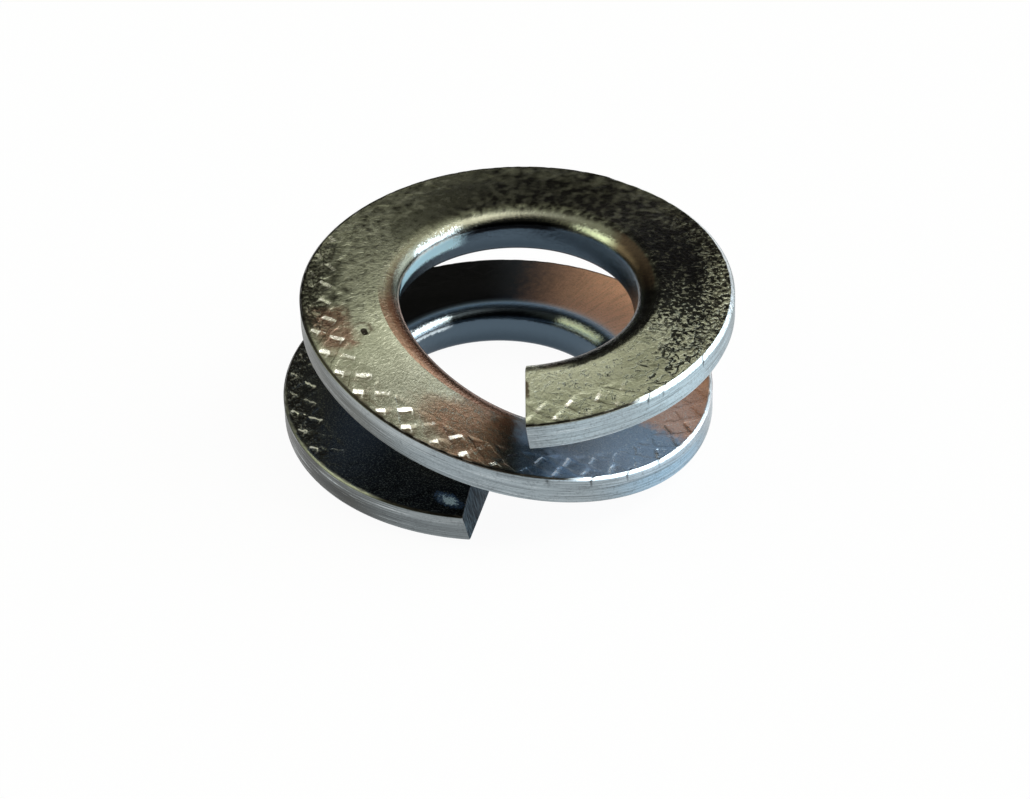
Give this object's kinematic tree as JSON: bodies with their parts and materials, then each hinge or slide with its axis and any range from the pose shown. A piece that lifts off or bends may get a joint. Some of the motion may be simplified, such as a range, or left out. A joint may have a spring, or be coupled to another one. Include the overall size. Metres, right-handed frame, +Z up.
{
  "type": "double coil spring washer",
  "caption": "Spring washer wound edgewise from one steel strip into upper and lower coils joined by a ramp, with sheared free ends and a round bore, which keeps a bolted joint in tension.",
  "frame": {"origin": "on the surface that the washer rests on, below the middle of the bore", "axes": "+Z up, square to the coils; -Y towards the middle of the ramp and the cut ends; +X to the right, the way the upper coil leans"},
  "size_m": [0.0238, 0.0226, 0.0084],
  "materials": {
    "zinc_plated_steel": "zinc plated, satin, with fine drawn lines on the outer edge and tool marks on the faces"
  },
  "bodies": {
    "root": {"spring_washer": "zinc_plated_steel"}
  },
  "joints": []
}
